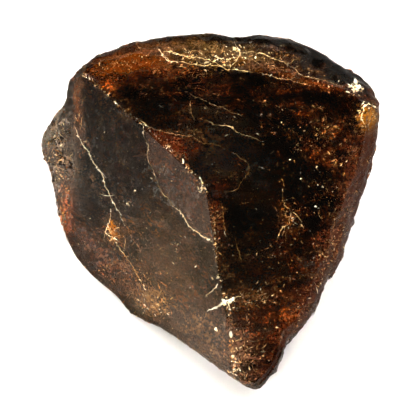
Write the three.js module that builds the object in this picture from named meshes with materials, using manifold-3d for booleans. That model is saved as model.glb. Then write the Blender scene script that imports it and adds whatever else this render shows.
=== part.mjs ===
// A dravite tourmaline crystal: one solid piece with a three-faced termination, a worn and partly
// broken rim, lengthwise fluted sides and an oblique broken foot that it rests on.
//
// The crystal is drawn in its face-on frame, looking at the termination: x to the right, y up the
// faces, z towards the viewer, with z = 0 at the tip. It is then leaned back onto its foot, which
// lies in the plane z = 0 of the part's own frame, and centred over the origin. Millimetres
// throughout.
import Module from "manifold-3d";
import * as THREE from "three";
import { ImprovedNoise } from "three/addons/math/ImprovedNoise.js";
import { mergeVertices } from "three/addons/utils/BufferGeometryUtils.js";

// ---- Driving dimensions ------------------------------------------------------------------------
const LEAN = THREE.MathUtils.degToRad(25); // the face-on viewing axis, measured from upright
const FOOT_DEPTH = 22.6; // the foot plane below the face-on frame's origin, measured upright
const TIP = new THREE.Vector3(-0.5, 2.4, 0);
const COLUMN_SPACING = 0.8; // between neighbouring columns of the skin, along the rim

// How far each ridge has fallen below the tip where it reaches the rim.
const RIDGE_FALL = { right: 3, upper: 9, lower: 8.5 };

// The rim as it is seen face-on, anticlockwise, in curved stretches that each start at a ridge.
const RIM = {
  right: [
    [17.1, 10.7], [16.0, 12.9], [13.7, 14.5], [10.5, 16.5], [7.1, 17.6], [3.5, 17.5],
    [1.6, 17.8], [-0.4, 18.0], [-4.4, 17.7], [-7.9, 17.1], [-11.3, 15.8],
  ],
  upper: [
    [-13.3, 14.3], [-14.4, 13.1], [-14.8, 11.3], [-16.0, 9.7], [-17.1, 8.1], [-17.5, 6.3],
    [-16.5, 4.2], [-16.1, 2.0], [-15.6, -1.0], [-14.3, -4.2], [-12.3, -6.7], [-9.6, -8.9],
    [-8.0, -10.7], [-4.4, -12.5], [-1.3, -14.6],
  ],
  lower: [
    [2.6, -17.4], [4.9, -18.3], [7.2, -15.6], [7.9, -13.4], [8.9, -12.7], [10.9, -9.9],
    [11.9, -7.1], [13.3, -5.3], [14.0, -3.0], [15.0, 0.4], [16.3, 3.8], [17.0, 7.6],
  ],
};

// The band between the flat faces and the rim, by compass angle about the tip in degrees: how wide
// it is, how far it falls, and how uneven it is.
const BAND = [
  { at: 24, width: 1.5, fall: 2.2, uneven: 0.15 },
  { at: 38, width: 2.8, fall: 3.6, uneven: 0.25 },
  { at: 60, width: 3.9, fall: 4.8, uneven: 0.3 },
  { at: 82, width: 3.6, fall: 3.8, uneven: 0.4 },
  { at: 104, width: 2.0, fall: 2.4, uneven: 0.3 },
  { at: 122, width: 1.6, fall: 2.0, uneven: 0.15 },
  { at: 136, width: 0.5, fall: 1.2, uneven: 0.1 },
  { at: 152, width: 1.6, fall: 3.0, uneven: 0.6 },
  { at: 165, width: 3.4, fall: 5.4, uneven: 0.8 },
  { at: 182, width: 1.5, fall: 2.8, uneven: 0.5 },
  { at: 198, width: 0.7, fall: 1.2, uneven: 0.2 },
  { at: 215, width: 0.35, fall: 0.4, uneven: 0.06 },
  { at: 266, width: 0.35, fall: 0.5, uneven: 0.06 },
  { at: 280, width: 0.8, fall: 1.2, uneven: 0.15 },
  { at: 300, width: 1.2, fall: 1.9, uneven: 0.2 },
  { at: 345, width: 2.0, fall: 2.8, uneven: 0.2 },
  { at: 384, width: 1.5, fall: 2.2, uneven: 0.15 },
];

// The band's section, from above the flat faces out to the rim, as shares of its width and fall.
const BAND_SECTION = [
  { across: -0.35, down: -0.3 }, { across: 0, down: 0 }, { across: 0.34, down: 0.22 },
  { across: 0.62, down: 0.44 }, { across: 0.84, down: 0.7 }, { across: 1, down: 1 },
];

// The broken foot, as it stands on the ground: x to the right and y away from the viewer.
const FOOT_CENTRE = new THREE.Vector2(-0.8, 6.6);
const FOOT = [
  [9.6, 5.6], [8.8, 11.8], [4.0, 16.2], [-4.6, 17.2], [-11.2, 14.8], [-13.2, 9.8],
  [-11.2, 4.8], [-7.4, 1.0], [-3.6, -2.2], [0.8, -3.6], [4.8, -2.8], [7.8, 0.8],
];

const SIDE_ROWS = 12;
const FOOT_ROWS = 3;
const SIDE_BULGE = 1.1; // how far the sides stand out between rim and foot
const FLUTE_DEPTH = 0.7; // of the lengthwise flutes on the sides
const CROWN_HEIGHT = 9; // of the uncut crown over the tip, before the faces are cut

// Lumps that stand on the rim, and chips broken out of it: a centre and half sizes in the face-on
// frame, the turn of the first half size from x in degrees, and how uneven the surface is.
const LUMPS = [
  { at: [9.1, 14.1, -10.6], half: [6.1, 2.5, 2.9], turn: -27, uneven: 0.1 }, // top rim
  { at: [-15.2, 8.1, -18.6], half: [1.1, 1.7, 1.7], turn: -20, uneven: 0.16 }, // rough flank
  { at: [-15.8, 5.9, -19.6], half: [1.5, 1.3, 2.2], turn: 15, uneven: 0.16 },
  { at: [-15.0, 3.7, -18.9], half: [1.0, 1.6, 1.6], turn: 10, uneven: 0.16 },
];
const CHIPS = [
  { at: [-9.7, 11.0, -6.2], half: [1.9, 0.5, 0.6], turn: -43, uneven: 0.14 }, // upper ridge
  { at: [-12.2, 13.5, -8.0], half: [1.3, 0.5, 0.7], turn: -43, uneven: 0.14 },
  { at: [2.0, -12.4, -6.3], half: [0.4, 1.5, 0.5], turn: 9, uneven: 0.14 }, // lower ridge
  { at: [2.5, -16.0, -7.7], half: [0.6, 1.6, 0.7], turn: 9, uneven: 0.14 },
  { at: [2.7, 18.7, -6.0], half: [1.2, 0.9, 4.0], turn: 0, uneven: 0.12 }, // top rim
  { at: [14.5, 14.0, -26.0], half: [11.0, 7.0, 10.0], turn: 35, uneven: 0.06 }, // far side
  { at: [15.5, -12.5, -17.0], half: [7.5, 9.0, 8.0], turn: -25, uneven: 0.06 }, // near side
  { at: [-13.5, 19.5, -22.0], half: [9.0, 6.0, 9.0], turn: 35, uneven: 0.06 }, // upper left
];

// ---- The rim, the faces and the band -----------------------------------------------------------
const grain = new ImprovedNoise();

function ridgeEnd(name) {
  const [x, y] = RIM[name][0];
  return new THREE.Vector3(x, y, TIP.z - RIDGE_FALL[name]);
}

// The plane of the flat face between two ridges, facing the viewer.
function faceBetween(from, to) {
  return new THREE.Plane().setFromCoplanarPoints(TIP, ridgeEnd(from), ridgeEnd(to));
}

const FACES = {
  right: faceBetween("right", "upper"),
  upper: faceBetween("upper", "lower"),
  lower: faceBetween("lower", "right"),
};

function depthOn(plane, x, y) {
  return -(plane.normal.x * x + plane.normal.y * y + plane.constant) / plane.normal.z;
}

// Evenly spaced rim points, each with the plane of the face that it belongs to.
function rimPoints() {
  const names = Object.keys(RIM);
  return names.flatMap((name, i) => {
    const following = RIM[names[(i + 1) % names.length]][0];
    const stretch = [...RIM[name], following].map(([x, y]) => new THREE.Vector2(x, y));
    const curve = new THREE.SplineCurve(stretch);
    const steps = Math.round(curve.getLength() / COLUMN_SPACING);
    const points = curve.getSpacedPoints(steps).slice(0, -1);
    return points.map(({ x, y }) => ({ x, y, plane: FACES[name] }));
  });
}

// The band's width, fall and unevenness at a compass angle, between its stated values.
function bandAt(x, y) {
  const turned = THREE.MathUtils.radToDeg(Math.atan2(y - TIP.y, x - TIP.x));
  const angle = THREE.MathUtils.euclideanModulo(turned - BAND[0].at, 360) + BAND[0].at;
  const after = Math.max(1, BAND.findIndex(({ at }) => at >= angle));
  const [low, high] = [BAND[after - 1], BAND[after]];
  const share = THREE.MathUtils.smoothstep(angle, low.at, high.at);
  const between = (key) => THREE.MathUtils.lerp(low[key], high[key], share);
  return { width: between("width"), fall: between("fall"), uneven: between("uneven") };
}

// ---- Between the face-on frame and the ground --------------------------------------------------
const UP = new THREE.Vector3(0, Math.sin(LEAN), Math.cos(LEAN));
const AWAY = new THREE.Vector3(0, Math.cos(LEAN), -Math.sin(LEAN));

function onGround(x, away) {
  return new THREE.Vector3(x, 0, 0).addScaledVector(AWAY, away).addScaledVector(UP, -FOOT_DEPTH);
}

// The foot's edge in the direction of a rim point, seen from the foot's centre.
function footPoint(rim) {
  const heading = new THREE.Vector2(rim.x, rim.dot(AWAY)).sub(FOOT_CENTRE).normalize();
  for (const [i, [ax, ay]] of FOOT.entries()) {
    const [bx, by] = FOOT[(i + 1) % FOOT.length];
    const start = new THREE.Vector2(ax, ay).sub(FOOT_CENTRE);
    const side = new THREE.Vector2(bx - ax, by - ay);
    const across = heading.cross(side);
    const reach = start.cross(side) / across;
    const share = start.cross(heading) / across;
    if (reach > 0 && share >= 0 && share < 1) {
      const edge = heading.multiplyScalar(reach).add(FOOT_CENTRE);
      return onGround(edge.x, edge.y);
    }
  }
  throw new Error("the foot has a gap");
}

// ---- The uncut body ----------------------------------------------------------------------------
// One column of the skin: from the crown over the band and the rim, down to the foot's centre.
function column({ x, y, plane }) {
  const band = bandAt(x, y);
  const outwards = new THREE.Vector2(x - TIP.x, y - TIP.y).normalize();
  const edgeDepth = depthOn(plane, x - outwards.x * band.width, y - outwards.y * band.width);
  const points = [new THREE.Vector3(TIP.x, TIP.y, CROWN_HEIGHT)];
  for (const { across, down } of BAND_SECTION) {
    const inset = band.width * (1 - across);
    const swell = across < 1 ? band.uneven * 2 * grain.noise(x * 0.5, y * 0.5, across * 2.3) : 0;
    points.push(
      new THREE.Vector3(
        x - outwards.x * inset,
        y - outwards.y * inset,
        edgeDepth - band.fall * down + swell + (across < 0 ? 1 : 0),
      ),
    );
  }

  const rim = points.at(-1);
  const foot = footPoint(rim);
  const run = rim.distanceTo(foot);
  const sideways = new THREE.Vector2(rim.x, rim.dot(AWAY)).sub(FOOT_CENTRE).normalize();
  const outward = new THREE.Vector3(sideways.x, 0, 0).addScaledVector(AWAY, sideways.y);
  const ease = Math.min(1, run / 10);
  for (let row = 1; row <= SIDE_ROWS; row += 1) {
    const share = row / SIDE_ROWS;
    const bow = Math.sin(Math.PI * share);
    const flute = FLUTE_DEPTH * 2 * grain.noise(x * 0.6, y * 0.6, share * 1.6);
    const point = rim.clone().lerp(foot, share);
    points.push(point.addScaledVector(outward, (SIDE_BULGE + flute * bow) * bow * ease));
  }
  const centre = onGround(FOOT_CENTRE.x, FOOT_CENTRE.y);
  for (let row = 1; row <= FOOT_ROWS; row += 1) {
    points.push(foot.clone().lerp(centre, row / FOOT_ROWS));
  }
  return points;
}

// A sphere's grid of columns and rows, with every point moved to its place on the crystal.
function uncutBody() {
  const columns = rimPoints().map(column);
  const geometry = new THREE.SphereGeometry(1, columns.length, columns[0].length - 1);
  const position = geometry.getAttribute("position");
  for (let i = 0; i < position.count; i += 1) {
    const row = Math.floor(i / (columns.length + 1));
    const { x, y, z } = columns[i % (columns.length + 1) % columns.length][row];
    position.setXYZ(i, x, y, z);
  }
  return geometry;
}

// ---- The cutters -------------------------------------------------------------------------------
// A box that takes away everything in front of a face's plane.
function faceCutter(plane) {
  const size = 120;
  const box = new THREE.BoxGeometry(size, size, size);
  box.translate(0, 0, size / 2);
  const facing = new THREE.Quaternion().setFromUnitVectors(new THREE.Vector3(0, 0, 1), plane.normal);
  box.applyQuaternion(facing);
  return box.translate(TIP.x, TIP.y, TIP.z);
}

// An uneven ellipsoid, for a lump or for the hollow that a chip leaves.
function pebble({ at, half, turn, uneven }) {
  const geometry = new THREE.IcosahedronGeometry(1, 4);
  const position = geometry.getAttribute("position");
  const point = new THREE.Vector3();
  for (let i = 0; i < position.count; i += 1) {
    point.fromBufferAttribute(position, i);
    const swell = grain.noise(point.x * 2 + at[0], point.y * 2 + at[1], point.z * 2 + at[2]);
    point.multiplyScalar(1 + uneven * 2 * swell);
    position.setXYZ(i, point.x, point.y, point.z);
  }
  geometry.scale(...half);
  geometry.rotateZ(THREE.MathUtils.degToRad(turn));
  return geometry.translate(...at);
}

// ---- The solid ---------------------------------------------------------------------------------
const wasm = await Module();
wasm.setup();

function solid(geometry) {
  geometry.deleteAttribute("normal");
  geometry.deleteAttribute("uv");
  const merged = mergeVertices(geometry, 1e-4);
  const vertProperties = Float32Array.from(merged.getAttribute("position").array);
  const triVerts = Uint32Array.from(merged.getIndex().array);
  return new wasm.Manifold(new wasm.Mesh({ numProp: 3, vertProperties, triVerts }));
}

function crystalGeometry() {
  let body = solid(uncutBody());
  for (const lump of LUMPS) {
    body = body.add(solid(pebble(lump)));
  }
  for (const plane of Object.values(FACES)) {
    body = body.subtract(solid(faceCutter(plane)));
  }
  for (const chip of CHIPS) {
    body = body.subtract(solid(pebble(chip)));
  }
  const { vertProperties, triVerts } = body.getMesh();
  const geometry = new THREE.BufferGeometry();
  geometry.setAttribute("position", new THREE.BufferAttribute(vertProperties, 3));
  geometry.setIndex(new THREE.BufferAttribute(triVerts, 1));
  return geometry;
}

const dravite = new THREE.MeshStandardMaterial({ color: 0x4a2412, roughness: 0.12, metalness: 0 });
const crystal = new THREE.Mesh(crystalGeometry(), dravite);
crystal.name = "dravite_crystal";
crystal.rotation.x = LEAN;
const middle = new THREE.Box3().setFromObject(crystal, true).getCenter(new THREE.Vector3());
crystal.position.set(-middle.x, -middle.y, FOOT_DEPTH);

const part = new THREE.Group();
part.add(crystal);

export default part;
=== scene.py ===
"""A see-through brown dravite crystal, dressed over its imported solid."""

import math
import random

import bmesh
import bpy
import numpy as np
from mathutils import Matrix, Quaternion, Vector, noise
from mathutils.bvhtree import BVHTree


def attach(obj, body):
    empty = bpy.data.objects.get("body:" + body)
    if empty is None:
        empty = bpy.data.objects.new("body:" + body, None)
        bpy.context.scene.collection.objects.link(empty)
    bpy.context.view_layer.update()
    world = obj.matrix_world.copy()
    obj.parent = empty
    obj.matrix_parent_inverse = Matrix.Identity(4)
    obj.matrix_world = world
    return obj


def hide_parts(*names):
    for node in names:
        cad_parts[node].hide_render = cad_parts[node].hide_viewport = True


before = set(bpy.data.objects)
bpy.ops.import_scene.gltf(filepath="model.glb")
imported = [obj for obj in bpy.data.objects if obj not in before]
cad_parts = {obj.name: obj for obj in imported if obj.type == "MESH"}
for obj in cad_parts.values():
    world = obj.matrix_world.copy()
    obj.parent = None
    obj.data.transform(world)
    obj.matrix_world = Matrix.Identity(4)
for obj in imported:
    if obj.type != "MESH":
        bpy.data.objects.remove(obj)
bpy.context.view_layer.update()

bl_info = {
    "name": "Dravite crystal",
    "version": (1, 0, 0),
    "blender": (4, 5, 0),
    "location": "3D View > Sidebar > Crystal",
    "description": "Dresses a packed dravite crystal: clear skin, cracks, flakes and mineral crusts",
    "category": "Object",
}

NODE = "dravite_crystal"
BODY = "root"
MM = 0.001

# ---- The face-on frame ----
# Places on the crystal are given face-on, in millimetres: x to the right, y up the faces, z towards
# the viewer. The tip is the point of the crystal that lies furthest towards the viewer.
ELEVATION = math.radians(65)
RIGHT = Vector((1, 0, 0))
UP = Vector((0, math.sin(ELEVATION), math.cos(ELEVATION)))
TOWARDS = Vector((0, -math.cos(ELEVATION), math.sin(ELEVATION)))
TIP = Vector((-0.5, 2.4, 0))
RIDGE_ENDS = {
    "right": Vector((17.1, 10.7, -3.0)),
    "upper": Vector((-13.3, 14.3, -9.0)),
    "lower": Vector((2.6, -17.4, -8.5)),
}
CAD_POINTS = [vert.co.copy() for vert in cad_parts[NODE].data.vertices]
TIP_AT = max(CAD_POINTS, key=TOWARDS.dot)


def placed(x, y, z=0.0):
    """A face-on place in millimetres, as a point of the part's own frame in metres."""
    return TIP_AT + ((x - TIP.x) * RIGHT + (y - TIP.y) * UP + (z - TIP.z) * TOWARDS) * MM


def face_on(point):
    """A point of the part's own frame, as a face-on place in millimetres."""
    offset = (point - TIP_AT) / MM
    return TIP + Vector((offset.dot(RIGHT), offset.dot(UP), offset.dot(TOWARDS)))


def face_normal(first, second):
    """The outward normal of the flat face between two ridges, face-on."""
    return (RIDGE_ENDS[first] - TIP).cross(RIDGE_ENDS[second] - TIP).normalized()


FACE_NORMALS = {
    "top": face_normal("right", "upper"),
    "left": face_normal("upper", "lower"),
    "right": face_normal("lower", "right"),
}


# ---- Shader helpers ----
class Value:
    """A socket that can be used in Python expressions: each one adds its Math node."""

    def __init__(self, graph, socket):
        self.graph = graph
        self.socket = socket

    def math(self, operation, *others):
        inputs = dict(enumerate((self, *others)))
        return self.graph.node("ShaderNodeMath", {"operation": operation}, inputs)

    def __add__(self, other):
        return self.math("ADD", other)

    __radd__ = __add__

    def __mul__(self, other):
        return self.math("MULTIPLY", other)

    __rmul__ = __mul__

    def __sub__(self, other):
        return self.math("SUBTRACT", other)

    def __rsub__(self, other):
        return self.graph.node("ShaderNodeMath", {"operation": "SUBTRACT"}, {0: other, 1: self})

    def above(self, level, softness):
        """0 where the value is under level, 1 where it is over level + softness."""
        settings = {"interpolation_type": "SMOOTHSTEP"}
        inputs = {"Value": self, "From Min": level, "From Max": level + softness}
        return self.graph.node("ShaderNodeMapRange", settings, inputs, "Result")


class Graph:
    """A material's node tree, with one method for every kind of node."""

    def __init__(self, name):
        self.material = bpy.data.materials.new(name)
        self.material.use_nodes = True
        self.tree = self.material.node_tree
        self.tree.nodes.clear()

    def node(self, kind, settings=None, inputs=None, output=0):
        made = self.tree.nodes.new(kind)
        for key, value in (settings or {}).items():
            if key == "stops":
                self.set_stops(made.color_ramp, value)
            else:
                setattr(made, key, value)
        for key, value in (inputs or {}).items():
            if isinstance(value, Value):
                self.tree.links.new(value.socket, made.inputs[key])
            else:
                made.inputs[key].default_value = value
        return Value(self, made.outputs[output]) if len(made.outputs) else made

    @staticmethod
    def set_stops(ramp, stops):
        while len(ramp.elements) > 1:
            ramp.elements.remove(ramp.elements[-1])
        for i, (position, colour) in enumerate(stops):
            element = ramp.elements[0] if i == 0 else ramp.elements.new(position)
            element.position = position
            element.color = (*colour, 1)

    def object_coordinates(self):
        return self.node("ShaderNodeTexCoord", output="Object")

    def attribute(self, name, output="Fac"):
        return self.node("ShaderNodeAttribute", {"attribute_name": name}, output=output)

    def noise(self, scale, detail=4.0, roughness=0.55, vector=None):
        """Even noise, with scale in features per millimetre."""
        inputs = {
            "Vector": vector or self.object_coordinates(),
            "Scale": scale / MM,
            "Detail": detail,
            "Roughness": roughness,
        }
        return self.node("ShaderNodeTexNoise", inputs=inputs)

    def mix_colour(self, factor, first, second, blend="MIX"):
        settings = {"data_type": "RGBA", "blend_type": blend}
        return self.node("ShaderNodeMix", settings, {0: factor, 6: first, 7: second}, 2)

    def ramp(self, factor, stops):
        return self.node("ShaderNodeValToRGB", {"stops": stops}, {"Fac": factor}, "Color")

    def bump(self, height, strength, distance):
        inputs = {"Height": height, "Strength": strength, "Distance": distance * MM}
        return self.node("ShaderNodeBump", inputs=inputs)

    def principled(self, inputs):
        return self.node("ShaderNodeBsdfPrincipled", inputs=inputs)

    def finish(self, surface, volume=None):
        inputs = {"Surface": surface}
        if volume:
            inputs["Volume"] = volume
        self.node("ShaderNodeOutputMaterial", inputs=inputs)
        return self.material


# ---- Mesh helpers ----
def add_object(name, data):
    made = bpy.data.objects.new(name, data)
    bpy.context.scene.collection.objects.link(made)
    return made


def finish_piece(name, mesh, material, replaces_node=False):
    """Puts a finished mesh into the scene as a piece that rides with the crystal."""
    mesh.materials.clear()
    mesh.materials.append(material)
    piece = add_object(name, mesh)
    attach(piece, BODY)
    if replaces_node:
        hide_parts(NODE)
    return piece


def mesh_from(bm, name):
    mesh = bpy.data.meshes.new(name)
    bm.to_mesh(mesh)
    bm.free()
    return mesh


# ---- The clear skin ----
SHARP = math.radians(28)  # the least turn at an edge that stays sharp
WELD = 0.002 * MM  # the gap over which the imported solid's points are joined
CELL = 1.2  # of the grid that divides the flat faces, in millimetres
GRID_REACH = ((RIGHT, 18), (UP, 19))  # how far the grid goes each way, in millimetres
FLAT = 0.012  # how far from a flat face a point may lie and still be on it


def flat_face_of(face):
    """The name of the flat termination face that a mesh face lies in, or None."""
    for name, normal in FACE_NORMALS.items():
        if all(abs(normal.dot(face_on(vert.co) - TIP)) < FLAT for vert in face.verts):
            return name
    return None


def divide_flats(bm):
    """Makes each flat face one polygon, then cuts it along an even grid."""
    flats = {face: flat_face_of(face) for face in bm.faces}
    inner = [e for e in bm.edges if len({flats[face] for face in e.link_faces}) == 1]
    inner = [e for e in inner if flats[e.link_faces[0]]]
    bmesh.ops.dissolve_edges(bm, edges=inner, use_verts=False)
    faces = [face for face in bm.faces if flat_face_of(face)]
    geometry = [*{item for face in faces for item in (face, *face.edges, *face.verts)}]
    for axis, reach in GRID_REACH:
        for step in range(int(-reach / CELL), int(reach / CELL) + 1):
            cut = placed(0, 0) + axis * (step + 0.5) * CELL * MM
            made = bmesh.ops.bisect_plane(bm, geom=geometry, dist=1e-7, plane_co=cut, plane_no=axis)
            geometry = made["geom"]


def skin_mesh():
    """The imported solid's surface, rounded between its sharp edges and finely divided."""
    bm = bmesh.new()
    bm.from_mesh(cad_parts[NODE].data)
    bmesh.ops.remove_doubles(bm, verts=bm.verts, dist=WELD)
    divide_flats(bm)
    bmesh.ops.join_triangles(
        bm,
        faces=[face for face in bm.faces if len(face.verts) == 3 and not flat_face_of(face)],
        angle_face_threshold=math.radians(35),
        angle_shape_threshold=math.radians(60),
    )
    crease = bm.edges.layers.float.new("crease_edge")
    flats = {face: flat_face_of(face) for face in bm.faces}
    for edge in bm.edges:
        meets_flat = len({flats[face] for face in edge.link_faces}) > 1
        if meets_flat or edge.calc_face_angle(0) > SHARP:
            edge[crease] = 1.0
    base = add_object("skin_base", mesh_from(bm, "skin_base"))
    divided = base.modifiers.new("divided", "SUBSURF")
    divided.levels = 2
    divided.render_levels = 2
    depsgraph = bpy.context.evaluated_depsgraph_get()
    fine = bpy.data.meshes.new_from_object(base.evaluated_get(depsgraph))
    bpy.data.objects.remove(base)
    return fine


# ---- Zones of the surface ----
# Where the crystal is clouded, face-on in millimetres: centre, half sizes, turn in degrees, how
# strongly, and the linear colour of what lies there. The clouds are partly mineral in the crystal
# and partly painted light: the orange and amber glow on the thin rims and edge bands is painted
# light let through them, and the grey-brown veil on the left-hand face is partly a painted reflection.
RED_BROWN = (0.06, 0.012, 0.003)
BROWN = (0.05, 0.014, 0.004)
GOLD_BROWN = (0.15, 0.068, 0.022)
CLOUDS_AND_GLOW = (
    # upper rim, from the left corner to the right one, with the painted glow of its thin edge and amber
    # corner
    ((-8, 15.2), (4.6, 1.5), 15, 0.92, (0.113, 0.024, 0.0025)),
    ((-4.6, 14.3), (3, 0.8), -8, 0.5, (0.1, 0.019, 0.003)),
    ((0.5, 15.9), (6, 1.3), -5, 0.86, (0.105, 0.049, 0.008)),
    ((8, 13.6), (6.5, 0.6), -16, 0.75, (0.085, 0.018, 0.003)),
    ((15.9, 9.3), (0.9, 1), 0, 0.85, (0.72, 0.29, 0.022)),
    ((8.5, 15), (4.5, 0.8), -22, 0.2, (0.12, 0.05, 0.012)),
    # top face
    ((-7, 12.6), (4.5, 1.4), -12, 0.08, RED_BROWN),
    ((1, 12.6), (9, 1), -10, 0.18, (0.06, 0.013, 0.003)),
    ((-4, 10.6), (6, 1.6), -20, 0.07, BROWN),
    ((8.5, 10), (6, 2), -15, 0.08, BROWN),
    # right-hand face, from the top down, with the painted glow along its thin edge band
    ((12, 8.3), (1.1, 0.6), -20, 0.36, (0.42, 0.085, 0.009)),
    ((9.6, 9.6), (1.2, 0.5), -25, 0.32, (0.34, 0.07, 0.01)),
    ((11.4, 5.6), (1.4, 1.2), 0, 0.25, (0.36, 0.075, 0.012)),
    ((12.3, 6.5), (3.4, 5), 0, 0.17, (0.06, 0.015, 0.004)),
    ((15.8, 4), (2.2, 8.5), -12, 0.93, (0.075, 0.019, 0.007)),
    ((12.6, -3.9), (1.7, 4.4), -21, 0.85, (0.068, 0.02, 0.008)),
    ((9.6, -10.4), (1.5, 4.2), -31, 0.85, (0.05, 0.012, 0.004)),
    ((8, -0.8), (0.7, 1.6), 20, 0.35, (0.2, 0.065, 0.012)),
    ((10, -4), (3.2, 4.5), -20, 0.2, RED_BROWN),
    ((8, -10.3), (0.9, 0.8), 0, 0.34, (0.42, 0.08, 0.009)),
    ((4.8, -13.2), (3.2, 4.6), -10, 0.4, (0.1, 0.02, 0.004)),
    ((3, -15), (1.3, 2.4), 10, 0.45, (0.105, 0.032, 0.006)),
    ((4.2, -8.7), (2.4, 0.9), 5, 0.3, GOLD_BROWN),
    ((0.9, -0.9), (0.6, 2.5), 6, 0.4, (0.075, 0.01, 0.002)),
    ((-10.2, 12.4), (0.8, 0.5), -40, 0.5, (0.3, 0.065, 0.008)),
    # left-hand face, from the rim inwards: the worn lump, the painted glow of its thin edge strips,
    # and a veil that is partly painted reflection
    ((-15.4, 5.5), (2, 5.2), 0, 0.95, (0.13, 0.1, 0.074)),
    ((-14.8, -0.4), (0.8, 2.4), 0, 0.8, (0.3, 0.06, 0.006)),
    ((-13.5, 10.6), (0.45, 3.2), 3, 0.9, (0.17, 0.06, 0.024)),
    ((-12.2, -4), (1.2, 3), 30, 0.5, (0.1, 0.03, 0.012)),
    ((-10, -2.3), (1.5, 0.9), -20, 0.4, (0.24, 0.075, 0.016)),
    ((-10, -1.9), (0.5, 1.1), 14, 0.85, (0.6, 0.22, 0.024)),
    ((-9, -6.6), (5, 1.6), -42, 0.5, (0.13, 0.05, 0.018)),
    ((-6, -9.4), (1.5, 1.2), -35, 0.65, (0.38, 0.23, 0.1)),
    ((-4, -9), (5.5, 3.2), -38, 0.55, (0.17, 0.092, 0.038)),
    ((0.2, -13.4), (3.8, 2.4), -45, 0.8, (0.2, 0.135, 0.09)),
    ((-3.6, -3.6), (5, 4), -30, 0.42, (0.16, 0.088, 0.036)),
    ((-9, 4.5), (6, 6), -30, 0.25, (0.045, 0.022, 0.008)),
)
# Where the fracture under the tip shows, face-on, and the cloud, as above, that it adds to a face.
TIP_FRACTURE = (
    (-6.6, 8.5), (-4, 7.7), (-1.8, 7.4), (0.7, 6.4), (2.5, 5.7), (3.9, 3.9), (1.9, 1.8),
    (1.1, 0.7), (1.6, -2.5), (0.2, -3.2), (-1.8, -1.9), (-3.1, 0), (-4.7, 1.6), (-6.3, 5.2),
)  # fmt: skip
FRACTURE_TINTS = {
    "top": ((-4.3, 6.9), (2.4, 1.5), -38, 0.8, (0.085, 0.013, 0.003)),
    "left": ((-3, 3), (8, 5), -45, 0.55, (0.15, 0.09, 0.068)),
    "right": ((1.2, 0), (1.5, 3.5), 0, 0.36, (0.06, 0.011, 0.003)),
}
# The left-hand face's haze stands partly for a painted reflection.
SPECKLED_EDGE = ((-10.8, -4.8), (6.0, 2.2), -42)  # of the hazy left face: centre, half, turn
WORN_LUMP = -12.5  # the face-on x that the worn lump lies left of
# The sides and the foot: how strongly they are clouded, their dark and glowing tints, and how many
# broad and small patches they have to the millimetre.
HIDDEN_CLOUD = 0.6
HIDDEN_TINTS = np.array([(0.045, 0.016, 0.006), (0.20, 0.075, 0.026)])
HIDDEN_PATCHES = (0.13, 0.38)


def vectors(items, field):
    values = np.empty(len(items) * 3)
    items.foreach_get(field, values)
    return values.reshape(-1, 3)


def vertex_places(mesh):
    """Every vertex face-on in millimetres, and how far its normal turns towards the viewer."""
    axes = np.array([RIGHT, UP, TOWARDS]).T
    offsets = (vectors(mesh.vertices, "co") - np.array(TIP_AT)) / MM
    facing = vectors(mesh.vertex_normals, "vector") @ np.array(TOWARDS)
    return offsets @ axes + np.array(TIP), facing


def falloff(places, centre, half, turn):
    """1 at the middle of an ellipse, easing to 0 outside it."""
    angle = math.radians(turn)
    dx, dy = places[:, 0] - centre[0], places[:, 1] - centre[1]
    along = (dx * math.cos(angle) + dy * math.sin(angle)) / half[0]
    across = (dy * math.cos(angle) - dx * math.sin(angle)) / half[1]
    return np.exp(-((along**2 + across**2) ** 1.5) * 0.7)


def within(places, corners):
    """Which places lie inside a polygon, face-on."""
    inside = np.zeros(len(places), bool)
    x, y = places[:, 0], places[:, 1]
    for (x0, y0), (x1, y1) in zip(corners, (*corners[1:], corners[0])):
        if y0 != y1:
            crossed = (y0 > y) != (y1 > y)
            inside ^= crossed & (x < x0 + (x1 - x0) * (y - y0) / (y1 - y0))
    return inside


def on_flat(places, name):
    """Which places lie on one of the flat faces."""
    return np.abs((places - np.array(TIP)) @ np.array(FACE_NORMALS[name])) < FLAT * 2


def cloud_and_glow_layers(places, seen, drift, patch):
    """Every cloud's strength at each place, with its colour, painted glow and painted reflection among
    them.
    """
    for centre, half, turn, strength, tint in CLOUDS_AND_GLOW:
        yield falloff(places, centre, half, turn) * strength * seen, np.array(tint)
    inside = within(places, TIP_FRACTURE)
    for name, (centre, half, turn, strength, tint) in FRACTURE_TINTS.items():
        flat = inside * on_flat(places, name)
        yield flat * falloff(places, centre, half, turn) * strength, np.array(tint)
    glow = np.clip(0.4 + drift * 1.8 + patch * 0.6, 0, 1)[:, None]
    hidden = (1 - seen) * np.clip(HIDDEN_CLOUD + patch * 0.8, 0.25, 0.97)
    yield hidden, glow * HIDDEN_TINTS[1] + (1 - glow) * HIDDEN_TINTS[0]


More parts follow.
